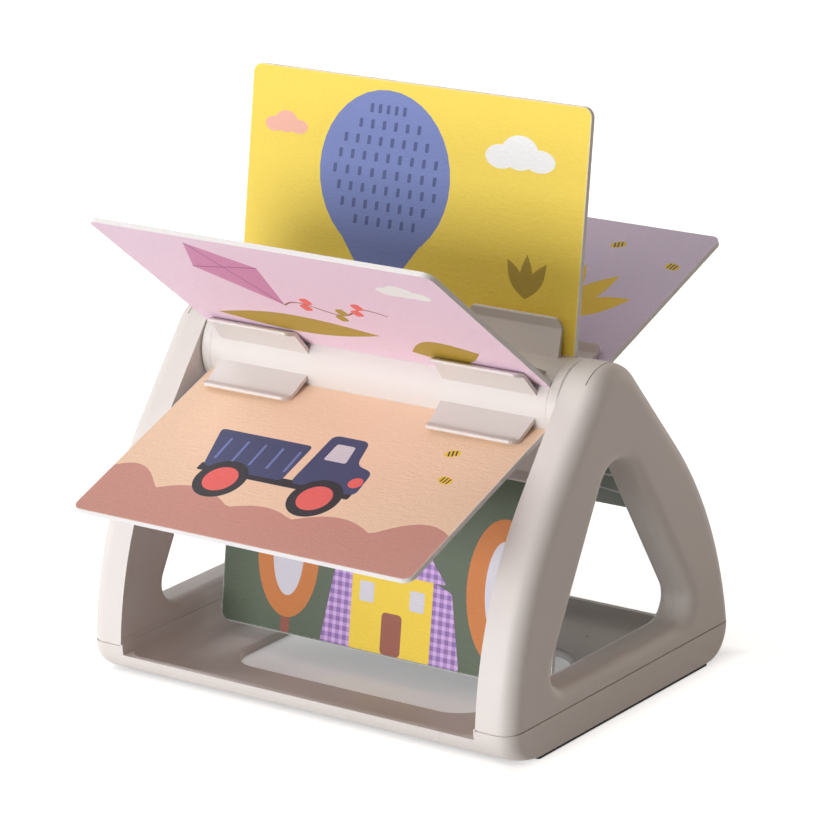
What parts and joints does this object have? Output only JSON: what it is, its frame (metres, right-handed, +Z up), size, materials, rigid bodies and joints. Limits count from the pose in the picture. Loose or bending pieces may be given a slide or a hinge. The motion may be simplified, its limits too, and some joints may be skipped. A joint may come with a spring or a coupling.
{
  "type": "rotating activity book",
  "caption": "Tabletop activity book: board pages, gripped by sprung arms on a drum, turn between two arched end frames on a tray base.",
  "frame": {"origin": "centre of the footprint, on the surface that the book stands on", "axes": "+X along the drum to the right-hand end frame, -Y to the front, +Z up"},
  "size_m": [0.241, 0.2492, 0.2717],
  "materials": {
    "body_plastic": "satin",
    "drum_plastic": "satin",
    "grip_rubber": "matt",
    "screw_steel": "plain",
    "card_yellow": "printed, linen texture",
    "card_pink": "printed, linen texture",
    "card_peach": "printed, linen texture",
    "card_green": "printed, linen texture",
    "card_blue": "printed, linen texture",
    "card_lilac": "printed, linen texture"
  },
  "bodies": {
    "stand": {"base_tray": "body_plastic", "right_end_frame": "body_plastic", "left_end_frame": "body_plastic", "right_inner_cover": "body_plastic", "left_inner_cover": "body_plastic", "right_bearing_cap": "body_plastic", "left_bearing_cap": "body_plastic", "right_foot_strip": "grip_rubber", "left_foot_strip": "grip_rubber", "right_frame_screws": "screw_steel", "left_frame_screws": "screw_steel"},
    "drum": {"drum_core": "drum_plastic", "right_drum_hub": "drum_plastic", "left_drum_hub": "drum_plastic", "right_hub_screws": "screw_steel", "left_hub_screws": "screw_steel", "drum_segment_1": "drum_plastic", "drum_segment_2": "drum_plastic", "drum_segment_3": "drum_plastic", "drum_segment_4": "drum_plastic", "drum_segment_5": "drum_plastic", "drum_segment_6": "drum_plastic", "page_1": "card_yellow", "page_2": "card_pink", "page_3": "card_peach", "page_4": "card_green", "page_5": "card_blue", "page_6": "card_lilac"}
  },
  "joints": [
    {"name": "drum_spin", "type": "hinge", "parent": "stand", "child": "drum", "pos_m": [0, 0, 0.141], "axis": [1, 0, 0], "continuous": true}
  ]
}
